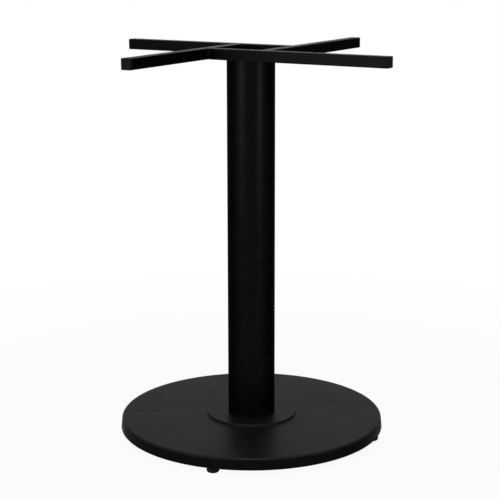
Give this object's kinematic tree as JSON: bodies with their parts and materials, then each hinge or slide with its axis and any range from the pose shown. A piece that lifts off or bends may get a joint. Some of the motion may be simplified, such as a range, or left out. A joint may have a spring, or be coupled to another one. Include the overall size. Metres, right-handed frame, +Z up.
{
  "type": "table base",
  "caption": "Pedestal table base: round cast foot on levelling glides, round steel column and a pinwheel spider of square tube that carries the table top.",
  "frame": {"origin": "on the floor, under the column's axis", "axes": "+Z up along the column, +X along the spider arm that points right, +Y to the back"},
  "size_m": [0.615, 0.615, 0.73],
  "materials": {
    "casting": "black powder coat",
    "column": "black powder coat",
    "spider": "black powder coat",
    "cap": "moulded matt",
    "foot": "moulded matt",
    "zinc": "bright zinc plate"
  },
  "bodies": {
    "stand": {"base_casting": "casting", "column_tube": "column", "spider_plate": "spider", "column_locator": "spider", "spider_arm_right": "spider", "end_cap_right": "cap", "spider_arm_back": "spider", "end_cap_back": "cap", "spider_arm_left": "spider", "end_cap_left": "cap", "spider_arm_front": "spider", "end_cap_front": "cap", "tie_rod": "zinc", "base_washer": "zinc", "top_washer": "zinc", "base_nut": "zinc", "top_nut": "zinc"},
    "foot_right": {"foot_pad_right": "foot", "foot_stud_right": "zinc"},
    "foot_back": {"foot_pad_back": "foot", "foot_stud_back": "zinc"},
    "foot_left": {"foot_pad_left": "foot", "foot_stud_left": "zinc"},
    "foot_front": {"foot_pad_front": "foot", "foot_stud_front": "zinc"}
  },
  "joints": [
    {"name": "foot_right_travel", "type": "slide", "parent": "stand", "child": "foot_right", "axis": [0, 0, -1], "range_m": [0, 0.008]},
    {"name": "foot_back_travel", "type": "slide", "parent": "stand", "child": "foot_back", "axis": [0, 0, -1], "range_m": [0, 0.008]},
    {"name": "foot_left_travel", "type": "slide", "parent": "stand", "child": "foot_left", "axis": [0, 0, -1], "range_m": [0, 0.008]},
    {"name": "foot_front_travel", "type": "slide", "parent": "stand", "child": "foot_front", "axis": [0, 0, -1], "range_m": [0, 0.008]}
  ]
}
